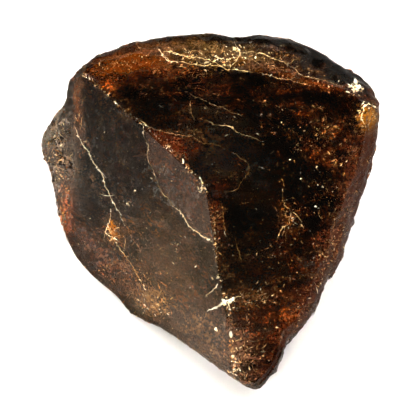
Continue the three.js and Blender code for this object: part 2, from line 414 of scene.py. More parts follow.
def paint_zones(mesh):
    """Writes the clouds with their painted glow, the haze with its painted reflection and the wear to
    the mesh, and returns its flats and its wear.
    """
    places, facing = vertex_places(mesh)
    seen = np.clip((facing + 0.1) / 0.3, 0, 1)
    drift, patch = (
        np.array([noise.noise(Vector(place) * scale) for place in places])
        for scale in HIDDEN_PATCHES
    )
    clear = np.ones(len(places))
    weight = np.full(len(places), 1e-4)
    colour = np.outer(weight, BROWN)
    for share, tint in cloud_and_glow_layers(places, seen, drift, patch):
        clear *= 1 - share
        weight += share
        colour += share[:, None] * tint
    write_attribute(mesh, "cloud_and_glow", 1 - clear)
    tinted = np.column_stack([colour / weight[:, None], np.ones(len(places))])
    write_attribute(mesh, "cloud_and_glow_colour", tinted)

    haze_and_reflection = on_flat(places, "left") * (1 - 0.85 * falloff(places, *SPECKLED_EDGE))
    write_attribute(mesh, "haze_and_reflection", haze_and_reflection)
    flat = np.any([on_flat(places, name) for name in FACE_NORMALS], axis=0)
    broken = np.clip(0.35 + (1 - seen) * (patch - drift) * 2.5, 0.35, 1)
    wear = np.where((places[:, 0] < WORN_LUMP) & (seen > 0.5), 1.0, broken) * ~flat
    write_attribute(mesh, "wear", wear)
    return flat, wear


def write_attribute(mesh, name, values):
    """Gives each vertex a number, or a colour."""
    values = np.ascontiguousarray(values, dtype=np.float32)
    kind, field = ("FLOAT", "value") if values.ndim == 1 else ("FLOAT_COLOR", "color")
    mesh.attributes.new(name, kind, "POINT").data.foreach_set(field, values.ravel())


FOOT_EDGE = 0.15 * MM  # the height that the relief starts at
SINK = 0.05  # how far the relief is set in, in millimetres


def roughen(mesh, flat, wear):
    """Gives the broken and worn parts their fine relief, and leaves the flat faces alone."""
    points = [vert.co.copy() for vert in mesh.vertices]
    outwards = [item.vector.copy() for item in mesh.vertex_normals]
    for i, (point, outward) in enumerate(zip(points, outwards)):
        if flat[i] or point.z < FOOT_EDGE:
            continue
        place = point / MM
        relief = noise.fractal(place * 0.9, 0.8, 2.2, 5) * (0.10 + 0.06 * wear[i])
        ledges = noise.ridged_multi_fractal(place * 0.7, 0.9, 2.1, 4, 1.0, 2.0) - 1.1
        flaked = abs(noise.noise(place * 1.7)) + 0.6 * abs(noise.noise(place * 3.3)) - 0.3
        relief += (ledges * 0.13 + flaked * 0.30 * max(0, wear[i] - 0.4)) * wear[i]
        points[i] = point + outward * (relief - SINK) * MM
    mesh.vertices.foreach_set("co", [value for point in points for value in point])
    mesh.update()


# ---- The clear dravite ----
# How bright a cloud is over its tint, by its pattern: in grains, in a haze and in flaky breaks. The
#  stops over 1 are painted glints and painted glow, and the darkest stops of the flaky breaks are
#  painted shade in their hollows.
SPECKS_AND_GLINTS = (
    (0.40, (0.06, 0.05, 0.05)),
    (0.50, (0.28, 0.25, 0.24)),
    (0.58, (1.05, 0.95, 0.85)),
    (0.67, (4.0, 3.6, 3.0)),
)
VEILED_GLOW_AND_SHEEN = (
    (0.36, (0.28, 0.24, 0.22)),
    (0.47, (0.55, 0.52, 0.50)),
    (0.55, (0.85, 0.84, 0.82)),
    (0.66, (1.35, 1.4, 1.5)),
)
FLAKY_SHADE_AND_GLINTS = (
    (0.30, (0.02, 0.02, 0.02)),
    (0.46, (0.22, 0.22, 0.23)),
    (0.58, (1.0, 1.0, 1.0)),
    (0.70, (3.6, 3.6, 3.7)),
)
THREADS = ((0.4, (0.20, 0.06, 0.012)), (0.6, (0.45, 0.26, 0.09)))
STREAK_TURN = math.radians(16)  # of the growth streaks, face-on
STREAK_SCALE = (0.22, 1.3, 1.0)  # which draws them out along their length


class ClearDravite(Graph):
    """See-through brown crystal, veiled by clouds of mineral with painted glow and glints, and by fine
    golden threads.
    """

    def __init__(self, settings):
        super().__init__("clear dravite")
        self.ior = settings.ior
        self.wear = self.attribute("wear")
        self.cloud_and_glow = self.attribute("cloud_and_glow")
        self.haze_and_reflection = self.attribute("haze_and_reflection")
        self.coordinates = self.object_coordinates()
        faced = self.turned(self.coordinates, (ELEVATION - math.pi / 2, 0, 0))
        self.streaked = self.turned(faced, (0, 0, STREAK_TURN), STREAK_SCALE)
        self.mottle = self.noise(0.8, 8, 0.7, self.coordinates)
        self.grit = self.noise(3.8, 5, 0.75, self.coordinates)

    def turned(self, vector, rotation, scale=(1, 1, 1)):
        inputs = {"Vector": vector, "Rotation": rotation, "Scale": scale}
        return self.node("ShaderNodeMapping", inputs=inputs, output="Vector")

    def glass(self):
        inputs = {
            "Base Color": self.mix_colour(self.mottle, (1.0, 0.93, 0.86, 1), (1.0, 0.98, 0.95, 1)),
            "Roughness": 0.03 + self.wear * 0.25,
            "IOR": self.ior,
            "Specular Tint": (1.0, 0.86, 0.70, 1),
            "Transmission Weight": 1.0,
        }
        return self.principled(inputs)

    def cover(self):
        """How much of the glass the clouds and their painted glow hide: all or nothing in specks,
        evenly in the haze, which is partly a painted reflection.
        """
        cloud_and_glow = self.cloud_and_glow
        streaks = self.noise(0.9, 6, 0.65, self.streaked)
        uneven = streaks * 0.8 + self.mottle * 0.6 + self.grit * 1.4 - 1.42
        veil = cloud_and_glow * 1.05 + (uneven - 0.05) * 2.4 * cloud_and_glow.above(0.02, 0.2) * (1.12 - cloud_and_glow)
        specks = (cloud_and_glow * 2.2 + uneven * 5).above(0.71, 1.0) * cloud_and_glow.above(0.02, 0.1)
        return specks + (veil - specks) * self.haze_and_reflection

    def plates(self):
        """Random numbers for the mica plates of the breaks, one to a plate."""
        inputs = {"Vector": self.coordinates, "Scale": 2.6 / MM}
        mica = self.node("ShaderNodeTexVoronoi", inputs=inputs, output="Color")
        return self.node("ShaderNodeSeparateColor", inputs={0: mica}, output="Red")

    def clouds_and_glow(self):
        """The mineral that the clouds are made of, with painted glints, glow and shade in its
        brightness.
        """
        patchy = self.grit * 0.65 + self.mottle * 0.35
        dense = self.cloud_and_glow.above(0.35, 0.35) + self.haze_and_reflection * 0.6
        plates = self.plates()
        flaky_shade_and_glints = self.ramp(plates * 0.5 + self.grit * 0.8 + self.mottle * 0.9 - 0.58, FLAKY_SHADE_AND_GLINTS)
        worn = self.wear.above(0.45, 0.3)
        lit = self.mix_colour(dense, self.ramp(patchy, SPECKS_AND_GLINTS), self.ramp(patchy, VEILED_GLOW_AND_SHEEN))
        lit = self.mix_colour(worn, lit, flaky_shade_and_glints)
        relief = self.wear * (self.grit + self.mottle + plates * worn * 0.5)
        tint = self.attribute("cloud_and_glow_colour", "Color")
        inputs = {
            "Base Color": self.mix_colour(1.0, tint, lit, "MULTIPLY"),
            "Roughness": 0.12 + self.wear * 1.2,
            "IOR": self.ior,
            "Specular IOR Level": 0.12,
            "Normal": self.bump(relief, 0.8, 0.4),
        }
        return self.principled(inputs)

    def filigree(self):
        """Where the threads run: along the bends of a noise, in patches."""
        bends = self.noise(1.1, 4, 0.6, self.coordinates)
        hair = 1 - (bends - 0.5).math("ABSOLUTE").above(0.0035, 0.006)
        patches = self.noise(0.7, 5, 0.7, self.streaked) + self.cloud_and_glow * 0.12
        return hair * patches.above(0.54, 0.1) * self.grit.above(0.42, 0.12)

    def threads(self):
        colour = self.ramp(self.mottle, THREADS)
        inputs = {"Base Color": colour, "Roughness": 0.3, "IOR": self.ior}
        return self.principled(inputs)

    def over(self, share, under, upper):
        """One shader over another, where the share says."""
        return self.node("ShaderNodeMixShader", inputs={0: share, 1: under, 2: upper})


def clear_dravite(settings):
    graph = ClearDravite(settings)
    clouded_and_glowing = graph.over(graph.cover(), graph.glass(), graph.clouds_and_glow())
    surface = graph.over(graph.filigree(), clouded_and_glowing, graph.threads())
    inside = {"Color": (*settings.body_colour, 1), "Density": settings.density}
    return graph.finish(surface, graph.node("ShaderNodeVolumeAbsorption", inputs=inside))


# ---- Lines of sight and scattered places ----
EYE_HEIGHT = 600  # of the viewer over the tip's level, in millimetres
HIDDEN_FACING = 0.1  # how far the normal of a hidden side may turn towards the viewer
HIDDEN_HEIGHT = 0.6 * MM  # over which the hidden sides are strewn
SCATTER = 0.6  # the spread of random places in an ellipse, over its half sizes
# The seeds of the random draws, and of the vector noise that the cracks wander by.
SEEDS = {"wandering": 1, "grain": 3, "hairlines": 5, "flakes": 11, "crusts": 23}


class Skin:
    """The finished skin, met by lines of sight from the front or by places on its hidden sides."""

    def __init__(self):
        bm = bmesh.new()
        bm.from_mesh(bpy.data.objects["clear_crystal"].data)
        self.tree = BVHTree.FromBMesh(bm)
        self.hidden = [
            (face.calc_center_median(), face.normal.copy(), face.calc_area())
            for face in bm.faces
            if face.normal.dot(TOWARDS) < HIDDEN_FACING
            and face.calc_center_median().z > HIDDEN_HEIGHT
        ]
        bm.free()

    def seen(self, x, y):
        """Where the line of sight through a face-on place meets the skin, and the normal there."""
        eye = placed(0, 0, EYE_HEIGHT)
        sight = (placed(x, y) - eye).normalized()
        point, normal, _, _ = self.tree.ray_cast(eye, sight)
        return (point, normal) if point else None

    def unseen(self, rng, count):
        """Even random places on the sides that face away."""
        areas = [area for _, _, area in self.hidden]
        return [(point, normal) for point, normal, _ in rng.choices(self.hidden, areas, k=count)]


def around(rng, centre, half, turn):
    """A random face-on place, likeliest at the middle of an ellipse."""
    angle = math.radians(turn)
    u, v = (rng.gauss(0, SCATTER) * reach for reach in half)
    x = centre[0] + u * math.cos(angle) - v * math.sin(angle)
    return x, centre[1] + u * math.sin(angle) + v * math.cos(angle)


# ---- Cracks ----
# Each crack, face-on in millimetres: its width, how pale it is at its two ends, and its line. The
#  paleness is partly the crack's own cream and partly a painted glint.
CRACKS = (
    # left face, long
    (0.145, (0.98, 0.8), ((-13.6, 8.3), (-13.1, 7.3), (-12.6, 6.5), (-12, 5.3), (-11.3, 4.4),
        (-10.7, 3.3), (-10.4, 2.3), (-9.8, 0.9), (-9, -0.4), (-8.5, -1.5))),
    # left face, low
    (0.103, (0.75, 0.55), ((-10.2, -1.8), (-9.7, -2.8), (-9, -4), (-8.2, -4.9), (-7.5, -6),
        (-6.9, -7.2), (-6.4, -8.2))),
    # left face, golden wedge
    (0.095, (0.75, 1), ((-9.9, 0.1), (-10.1, -1.2), (-10.4, -2.2), (-9.8, -2.7), (-9, -3))),
    # tip cap, left
    (0.085, (0.9, 0.8), ((-6.6, 8.5), (-6.7, 7.3), (-6.2, 6.6), (-6.3, 5.2), (-5.9, 4.2), (-5.3, 2.7),
        (-4.7, 1.6), (-3.8, 0.5), (-3.1, 0))),
    # tip cap, left low
    (0.145, (0.96, 0.84), ((-3.1, 0), (-2.5, -0.9), (-1.8, -1.9), (-0.9, -2.6), (0.2, -3.2))),
    # tip cap, upper
    (0.065, (0.85, 0.4), ((-6.6, 8.5), (-5.3, 8.1), (-4, 7.7), (-3, 7.4), (-1.8, 7.4), (-0.7, 6.7),
        (0.7, 6.4), (1.5, 6), (2.5, 5.7))),
    # tip cap, round
    (0.05, (0.66, 0.5), ((2.5, 5.7), (3.1, 5.1), (3.8, 4.8), (3.9, 3.9), (3.3, 2.9), (2.7, 2.2),
        (1.9, 1.8), (1.3, 1.7))),
    # tip cap, right
    (0.058, (0.5, 0.45), ((1.1, 0.7), (1.3, 0.2), (1.3, -0.7), (1.5, -1.4), (1.6, -2.5))),
    # across ridge
    (0.207, (1.1, 1.05), ((-0.3, -10.1), (0.5, -9.8), (1.5, -9.2), (2.4, -8.6))),
    # across ridge, branch
    (0.138, (1.1, 0.95), ((1.5, -9.2), (1.9, -9.6), (2, -10))),
    # ridge, second
    (0.115, (1, 0.75), ((0.8, -7.5), (0.3, -8), (-0.4, -8.7))),
    # right face, line
    (0.041, (0.6, 0.5), ((2.4, -2.7), (2.9, -4.2), (3.2, -5.4), (3.7, -6.7))),
    # right face, vein
    (0.081, (0.5, 0.65), ((7, 3.4), (7.3, 2.7), (7.2, 1.8), (7.3, 1), (7.7, 0.2), (8.1, -0.1))),
    # vein, down
    (0.081, (0.85, 0.6), ((8.1, -0.1), (8, -0.7), (8, -1.3), (7.2, -2), (6.9, -2.6), (6.7, -3.1))),
    # vein, side
    (0.069, (0.8, 0.55), ((8.1, -0.1), (8.7, -0.5), (9.1, -1), (9.4, -1.9))),
    # right face, low
    (0.048, (0.6, 0.5), ((10.3, -2.6), (10.8, -3.6), (11.5, -4.8), (12, -5.8))),
    # top face, fine one
    (0.058, (0.8, 0.65), ((-2, 11.7), (-0.7, 11.1), (0, 10.7), (1.1, 10.2), (2.2, 9.8), (3.2, 9.3))),
    # top face, fine two
    (0.06, (0.8, 0.75), ((-0.9, 9.1), (0.6, 8.6), (2.2, 8.2), (3.3, 7.6), (5.2, 6.9))),
    # top face, upright
    (0.058, (0.8, 0.65), ((-2, 10.8), (-1.9, 10), (-1.7, 9.1))),
    # rim, lower line
    (0.085, (0.9, 0.6), ((-4.9, 15.7), (-3.9, 14.9), (-3, 14.9), (-2, 14.6), (-1, 14.5), (-0.1, 14.5),
        (1, 14.3), (2, 14.1), (3, 14), (5, 13.7), (6.2, 13.4), (7.3, 13.1), (9.1, 12.7), (10.1, 12.5))),
    # rim, loop
    (0.092, (0.9, 0.65), ((-4.6, 15.9), (-3.9, 15.8), (-3.2, 15.6), (-2.1, 15.2), (-1.3, 15.4))),
    # rim, left of loop
    (0.092, (0.9, 0.95), ((-5.2, 16.3), (-4.9, 15.7), (-4.4, 15.1), (-3.9, 14.9))),
    # rim, upper line
    (0.08, (0.85, 0.7), ((3, 15.8), (4.5, 15.8), (5.5, 15.5), (7.1, 14.8), (7.8, 14.4), (8.5, 14.1),
        (9.3, 13.4), (10.6, 13.1), (12, 12.8), (13.2, 12.4))),
    # rim, middle line
    (0.08, (0.9, 0.7), ((-4, 15.8), (-2.3, 15.5), (-1, 15.2), (0, 15), (1, 14.5), (2, 14.3))),
    # rim, short ones
    (0.095, (0.95, 0.8), ((2.5, 16.8), (3, 15.7), (2.7, 14.8), (2, 14.3))),
    (0.095, (0.95, 0.8), ((0.2, 15.6), (1, 15), (2, 15.2), (2.8, 15.3))),
    # amber corner's edge
    (0.12, (1, 0.8), ((16.6, 10.2), (15.8, 10.7), (15.3, 10.3), (15.1, 9.2), (15.6, 8.3))),
    # left face, faint end of the long one
    (0.055, (0.6, 0.35), ((-8.5, -1.5), (-8, -2.3), (-7.4, -3.3), (-6.9, -4.3))),
)  # fmt: skip
# Where fine hairlines lie, face-on: centre, half sizes, turn in degrees, how many, their longest
# length, the heading that they keep to in degrees with its spread, and how pale they are.
HAIRLINES = (
    ((0.2, 15.3), (4.6, 0.7), -4, 20, 1, (0, 70), (0.5, 1)),
    ((8, 14), (4.5, 0.5), -16, 8, 1.2, (-20, 25), (0.2, 0.7)),
    ((0, 10.6), (7.5, 2), -15, 26, 2.4, (-17, 9), (0, 0.5)),
    ((9, 9.5), (5, 2.2), -15, 12, 1.4, (-17, 14), (0, 0.5)),
    ((13, 2.5), (2.2, 5), -10, 26, 1.2, (60, 60), (0.2, 0.8)),
    ((8, -1), (1.4, 1.8), 0, 20, 1.2, (70, 50), (0.4, 0.8)),
    ((9.5, -5), (2.6, 3.2), -20, 18, 1.2, (-50, 40), (0.2, 0.7)),
    ((3.8, -13.2), (1.8, 3.6), 0, 40, 0.9, (80, 60), (0.3, 0.9)),
    ((4, -8.8), (2.2, 0.6), 6, 16, 1.4, (8, 14), (0.4, 0.85)),
    ((-5.6, -9.4), (1.6, 1.2), -30, 22, 0.9, (60, 60), (0.4, 0.9)),
    ((-8.5, -5.6), (4.4, 2.6), -42, 26, 1.2, (-60, 30), (0.2, 0.8)),
    ((-9.7, -2.4), (0.8, 1.1), 0, 12, 0.9, (70, 30), (0.5, 0.9)),
    ((-2.6, -5), (4.6, 4), -30, 16, 1, (45, 60), (0.3, 0.7)),
    ((-13.2, 10), (0.35, 3), 3, 14, 1.2, (88, 12), (0.4, 1)),
    ((-15.3, 5.2), (1.5, 4.2), 0, 60, 1.4, (75, 25), (0.2, 0.9)),
)
CRACK_STEP = 0.07  # between the places along a crack, in millimetres
CRACK_LIFT = 0.012  # of a crack's glinting lip over the skin
HAIRLINE_WIDTHS = (0.025, 0.065)  # in millimetres
HAIRLINE_STRIDES = 4  # in each


def even_steps(points, spacing):
    """Even steps along a line of straight stretches."""
    steps = []
    for start, end in zip(points, points[1:]):
        count = max(1, round(math.dist(start, end) / spacing))
        for i in range(count):
            steps.append(tuple(a + (b - a) * i / count for a, b in zip(start, end)))
    return [*steps, points[-1]]


def wandering(x, y, seed):
    """A face-on place, moved a little so that a crack is nowhere straight."""
    coarse = noise.noise_vector(Vector((x * 0.9, y * 0.9, seed)))
    fine = noise.noise_vector(Vector((x * 4, y * 4, seed + 5)))
    jag = noise.noise_vector(Vector((x * 11, y * 11, seed + 9)))
    shift = coarse * 0.18 + fine * 0.10 + jag * 0.05
    return x + shift.x, y + shift.y


def seeded_cracks():
    """Each crack with the seed of its wandering."""
    return [(number * 7.3, *crack) for number, crack in enumerate(CRACKS)]


def lay_crack(bm, skin, line, width, tones, seed):
    """Lays one crack on the skin as a narrow roofed lip that swells and thins along its length."""
    places = [wandering(*step, seed) for step in even_steps(line, CRACK_STEP)]
    sites = [site for site in (skin.seen(*place) for place in places) if site]
    last = len(sites) - 1
    if last < 2:
        return
    made = bmesh.ops.create_grid(bm, x_segments=last, y_segments=2, size=1)
    tone = bm.verts.layers.float["tone"]
    for vert in made["verts"]:
        along, side = (vert.co.x + 1) / 2, round(vert.co.y)
        at = round(along * last)
        point, normal = sites[at]
        course = sites[min(at + 2, last)][0] - sites[max(at - 2, 0)][0]
        across = normal.cross(course).normalized() * side
        lift = -0.5 * CRACK_LIFT if side else CRACK_LIFT
        swell = 0.3 + 1.3 * max(0, 0.35 + noise.noise(point / MM * 2.6 + Vector((0, 0, seed))))
        swell += 1.1 * max(0, noise.noise(point / MM * 8 + Vector((0, seed, 0))))
        taper = min(1, 4 * along + 0.2, 4 * (1 - along) + 0.2)
        vert.co = point + (normal * lift + across * width * 0.5 * swell * taper) * MM
        # The lip's edges are toned darker than its crest: a painted shade on its flanks.
        vert[tone] = tones[0] + (tones[1] - tones[0]) * along - abs(side) * 0.25


def hairline(rng, centre, half, turn, longest, heading):
    """A short face-on line that keeps roughly to a heading."""
    x, y = around(rng, centre, half, turn)
    course = math.radians(rng.gauss(heading[0], heading[1]))
    stride = longest * (0.25 + 0.75 * rng.random() ** 2) / HAIRLINE_STRIDES
    line = [(x, y)]
    for _ in range(HAIRLINE_STRIDES):
        course += rng.gauss(0, 0.3)
        x += stride * math.cos(course)
        y += stride * math.sin(course)
        line.append((x, y))
    return line


def cracks_mesh(skin):
    noise.seed_set(SEEDS["wandering"])
    bm = bmesh.new()
    bm.verts.layers.float.new("tone")
    for seed, width, tones, line in seeded_cracks():
        lay_crack(bm, skin, line, width, tones, seed)
    rng = random.Random(SEEDS["hairlines"])
    for centre, half, turn, count, longest, heading, tones in HAIRLINES:
        for _ in range(count):
            line = hairline(rng, centre, half, turn, longest, heading)
            ends = [rng.uniform(*tones) for _ in range(2)]
            lay_crack(bm, skin, line, rng.uniform(*HAIRLINE_WIDTHS), ends, rng.random() * 90)
    bm.normal_update()
    inwards = [face for face in bm.faces if face.normal.dot(TOWARDS) < 0]
    bmesh.ops.reverse_faces(bm, faces=inwards)
    return mesh_from(bm, "cracks")


# ---- Flakes ----
# Where flakes lie, face-on in millimetres: centre, half sizes, turn in degrees, how many, their
# largest half size, and how pale they are from the darkest to the palest.
FLAKES = (
    # whole faces
    ((2, 4), (13, 9), -15, 240, 0.086, (0.1, 0.95)),
    ((-6, -2), (7, 10), 35, 280, 0.086, (0.2, 0.95)),
    ((8, -4), (5, 8), -20, 220, 0.094, (0.1, 0.95)),
    # sparks, the palest ones
    ((-6, -2), (7, 9), 35, 90, 0.095, (0.75, 1.1)),
    ((3, 9), (11, 4), -15, 70, 0.1, (0.55, 1.05)),
    ((9.5, -3), (4, 9), -20, 70, 0.1, (0.5, 1.05)),
    # right-hand face and its low end
    ((2.6, -15.3), (0.9, 2.4), 8, 88, 0.146, (0.3, 1.15)),
    ((4.6, -12.5), (2.6, 4.2), -12, 168, 0.12, (0.1, 0.85)),
    ((4, -8.8), (2, 0.7), 5, 36, 0.103, (0.5, 1.05)),
    ((8.2, -1), (1, 1.3), -20, 44, 0.103, (0.4, 1.05)),
    ((13, 3), (2.6, 6), -10, 144, 0.103, (0.1, 0.85)),
    ((12.3, -4), (1.1, 4), -21, 150, 0.1, (0.1, 0.95)),
    ((9.2, -10.2), (1.1, 3.8), -31, 130, 0.1, (0.05, 0.85)),
    ((12, 8.3), (1, 0.5), -20, 40, 0.11, (0.1, 0.6)),
    ((11.8, 6.6), (2.4, 2.4), 0, 70, 0.125, (0.05, 0.5)),
    ((8.6, -9.8), (1.6, 1.4), 0, 36, 0.13, (0.05, 0.5)),
    ((7.6, -6), (3, 2.6), 0, 44, 0.115, (0.05, 0.55)),
    ((9.6, 7.5), (3, 2.5), 0, 64, 0.103, (0.1, 0.75)),
    ((1.1, -1.5), (0.6, 2.6), 5, 24, 0.094, (0, 0.6)),
    # upper rim
    ((7, 15.2), (3.2, 1.1), -22, 90, 0.1, (0.2, 0.9)),
    ((0.5, 15.2), (4.8, 0.9), -4, 152, 0.128, (0.3, 1.15)),
    ((-7.5, 15.2), (3.6, 1.4), 15, 44, 0.111, (0.2, 0.95)),
    ((8, 13.9), (5.5, 0.6), -17, 40, 0.103, (0.05, 0.85)),
    ((15.9, 9), (1.1, 1), 0, 28, 0.12, (0.4, 1.15)),
    # left-hand face
    ((-9.6, -2.7), (0.9, 1.2), 0, 32, 0.111, (0.4, 1.05)),
    ((-6, -9.6), (1.2, 1.2), -30, 52, 0.128, (0.4, 1.15)),
    ((-7.5, -7), (5.5, 2.2), -38, 152, 0.103, (0.3, 0.95)),
    ((-3.4, -3.4), (0.5, 0.8), -40, 16, 0.103, (0.6, 1.15)),
    ((-0.8, 2.2), (0.5, 0.8), 0, 26, 0.13, (0.6, 1.1)),
    ((-8.2, 0.6), (0.4, 0.25), -10, 16, 0.12, (0.6, 1)),
    ((-11, 1), (0.4, 0.6), 0, 12, 0.11, (0.5, 0.9)),
    ((-15.3, 5.7), (1.5, 4.2), 0, 400, 0.12, (0.05, 0.95)),
    ((-14.8, -0.6), (0.7, 2.2), 0, 110, 0.12, (0.1, 0.65)),
    ((-10.8, -5), (5, 1.6), -42, 130, 0.11, (0.05, 0.65)),
)
# Glints where the ridges are bruised: how many, their size, how pale, and the ridge's line.
RIDGE_GLINTS = (
    (150, 0.125, (0.3, 1.1), ((-12.9, 13.9), (-10.9, 12.2), (-9.4, 10.6), (-6.6, 8.5), (-3.4, 5.4),
        (-0.6, 2.6))),
    (30, 0.1, (0.2, 1), ((-0.9, 2.2), (-0.3, 1.2), (0.3, -1), (0.6, -3.3))),
    (70, 0.12, (0.3, 1), ((0.5, -3.3), (0.9, -6), (1.8, -10), (2.2, -13.5))),
    (36, 0.12, (0.2, 0.9), ((2.2, -13.5), (2.5, -17))),
    (40, 0.07, (0, 0.6), ((0, 2.8), (5.2, 6), (11, 8.8), (16.5, 10.8))),
    (30, 0.1, (0.1, 0.9), ((-13, 12.6), (-13.2, 10.5), (-13.6, 8.3))),
)  # fmt: skip
HIDDEN_FLAKES = (2200, 0.13, (0.0, 0.8))  # on the hidden sides: how many, their size and how pale
ARC_SHARE = 0.05  # of the flakes that are bent slivers rather than grains
FLAKE_LIFT = Vector((0, 0, 0.3))  # which turns the flakes a little upwards
GLINT_LIFT = Vector((0, 0, 0.9))  # which turns the glints along the cracks upwards
GLINT_STEP = 0.11  # between the glints along a crack, in millimetres
GLINT_SHARE = 0.6  # of those places that have one
GLINT_SIZE = 0.95  # of the crack's width
RIDGE_STEP = 0.05  # between the places along a ridge, in millimetres
RIDGE_SPREAD = 0.09  # of the bruises to either side of it


def grain_template():
    bm = bmesh.new()
    bmesh.ops.create_icosphere(bm, subdivisions=1, radius=1)
    rng = random.Random(SEEDS["grain"])
    for vert in bm.verts:
        vert.co *= rng.uniform(0.6, 1.25)
    bmesh.ops.scale(bm, verts=bm.verts, vec=(1, 0.7, 0.35))
    return mesh_from(bm, "grain")


def arc_template():
    """A bent sliver, three times as long as a grain."""
    bm = bmesh.new()
    bmesh.ops.create_grid(bm, x_segments=5, y_segments=1, size=1)
    for vert in bm.verts:
        bend = 1 - vert.co.x**2
        vert.co = (vert.co.x * 3.2, vert.co.y * 0.22 * (0.3 + bend) + bend * 0.8, 0)
    bmesh.ops.solidify(bm, geom=bm.faces, thickness=0.25)
    return mesh_from(bm, "arc")


def from_lowest(corners):
    """A face's corners in their order, from the lowest one on."""
    start = corners.index(min(corners))
    return corners[start:] + corners[:start]


def repeated(name, templates, copies):
    """One mesh of many copies: each is a template's number, a placement matrix and a tone."""
    points, faces, tones = [], [], []
    for kind, template in enumerate(templates):
        turns = np.array([placement for number, placement, _ in copies if number == kind])
        shades = [tone for number, _, tone in copies if number == kind]
        shape = np.array([(*vert.co, 1) for vert in template.vertices])
        start = sum(len(part) for part in points)
        points.append(np.einsum("nij,vj->nvi", turns, shape)[:, :, :3].reshape(-1, 3))
        corners = sorted(from_lowest(list(face.vertices)) for face in template.polygons)
        for i in range(len(turns)):
            first = start + i * len(shape)
            faces += [[first + corner for corner in face] for face in corners]
        tones += list(np.repeat(shades, len(shape)))
    mesh = bpy.data.meshes.new(name)
    mesh.from_pydata(np.concatenate(points).tolist(), [], faces)
    write_attribute(mesh, "tone", tones)
    return mesh


def scattered(skin, rng, centre, half, turn, count):
    """Random places on the skin, densest at the middle of an ellipse seen face-on."""
    sites = (skin.seen(*around(rng, centre, half, turn)) for _ in range(count))
    return [site for site in sites if site]


def flake(rng, point, normal, size, tones):
    """One flake half sunk in the skin: its template, its placement and its tone."""
    spread = rng.random() ** 2.2
    half = size * (0.25 + 0.75 * spread + 0.6 * spread**7) * MM
    is_arc = rng.random() < ARC_SHARE
    lean = Vector([rng.gauss(0, 0.25) for _ in range(3)])
    turn = (normal + lean).to_track_quat("Z", "Y") @ Quaternion((0, 0, 1), rng.uniform(0, math.tau))
    stretch = Vector((rng.uniform(0.7, 1.8), rng.uniform(0.6, 1.2), 1)) * half
    tone = tones[0] + (tones[1] - tones[0]) * rng.random() ** 1.2
    return int(is_arc), Matrix.LocRotScale(point, turn, stretch), tone


def flakes_mesh(skin):
    noise.seed_set(SEEDS["wandering"])
    rng = random.Random(SEEDS["flakes"])
    copies = []
    for centre, half, turn, count, size, tones in FLAKES:
        for point, normal in scattered(skin, rng, centre, half, turn, count):
            copies.append(flake(rng, point, normal + FLAKE_LIFT, size, tones))
    for seed, width, (first, last), line in seeded_cracks():
        glint = (width * GLINT_SIZE, (last, first + 0.2))
        for step in even_steps(line, GLINT_STEP):
            site = skin.seen(*wandering(*step, seed))
            if site and rng.random() < GLINT_SHARE:
                copies.append(flake(rng, site[0], site[1] + GLINT_LIFT, *glint))
    for count, size, tones, line in RIDGE_GLINTS:
        course = even_steps(line, RIDGE_STEP)
        for _ in range(count):
            x, y = (place + rng.gauss(0, RIDGE_SPREAD) for place in rng.choice(course))
            site = skin.seen(x, y)
            if site:
                copies.append(flake(rng, *site, size, tones))
    count, *looks = HIDDEN_FLAKES
    copies += [flake(rng, *site, *looks) for site in skin.unseen(rng, count)]
    return repeated("flakes", (grain_template(), arc_template()), copies)


# ---- Mineral crusts ----
# Pale crusts and lumps, with the same fields as the flakes.
CRUSTS = (
    ((14.6, 12.2), (0.55, 0.55), -40, 90, 0.22, (0.7, 1.1)),
    ((13.6, 12.7), (0.8, 0.2), -20, 16, 0.12, (0.6, 1)),
    ((15.4, 10.5), (0.35, 0.25), -30, 9, 0.24, (0.85, 1.1)),
    ((15, 9.7), (0.2, 0.5), 30, 8, 0.16, (0.6, 0.9)),
    ((16.4, 9.6), (0.3, 0.3), 0, 6, 0.18, (0.7, 1)),
    ((2.6, 16.1), (0.9, 0.35), 15, 26, 0.2, (0.65, 1)),
    ((1.2, 14.9), (1, 0.3), -20, 22, 0.15, (0.55, 0.9)),
    ((0.6, -11.8), (0.15, 0.2), 0, 4, 0.26, (0.8, 1)),
    ((2.2, -12.3), (0.12, 0.25), 0, 5, 0.26, (0.8, 1)),
    ((2.3, -15), (0.2, 0.5), 0, 9, 0.2, (0.6, 1)),
    ((0.7, -6.6), (0.3, 0.2), 0, 5, 0.2, (0.7, 1)),
    ((1.9, -9.2), (0.8, 0.12), 20, 14, 0.16, (0.7, 1)),
    ((-13.1, 13.6), (0.4, 0.3), 0, 7, 0.16, (0.4, 0.9)),
)
HIDDEN_CRUSTS = (150, 0.17, (0.3, 0.9))  # as HIDDEN_FLAKES
LUMP_KINDS = 3


def lump_template(seed):
    """An uneven grain of crust."""
    bm = bmesh.new()
    bmesh.ops.create_uvsphere(bm, u_segments=8, v_segments=6, radius=1)
    for vert in bm.verts:
        vert.co *= 0.8 + 0.45 * noise.noise(vert.co * 1.4 + Vector((seed * 9.1, 0, 0)))
    bmesh.ops.scale(bm, verts=bm.verts, vec=(1, 0.8, 0.42))
    return mesh_from(bm, "lump")


def crusts_mesh(skin):
    rng = random.Random(SEEDS["crusts"])
    sites = [
        (site, size, tones)
        for centre, half, turn, count, size, tones in CRUSTS
        for site in scattered(skin, rng, centre, half, turn, count)
    ]
    count, *looks = HIDDEN_CRUSTS
    sites += [(site, *looks) for site in skin.unseen(rng, count)]
    copies = []
    for (point, normal), size, tones in sites:
        _, placement, tone = flake(rng, point, normal, size, tones)
        copies.append((rng.randrange(LUMP_KINDS), placement, tone))
    return repeated("crusts", [lump_template(seed) for seed in range(LUMP_KINDS)], copies)


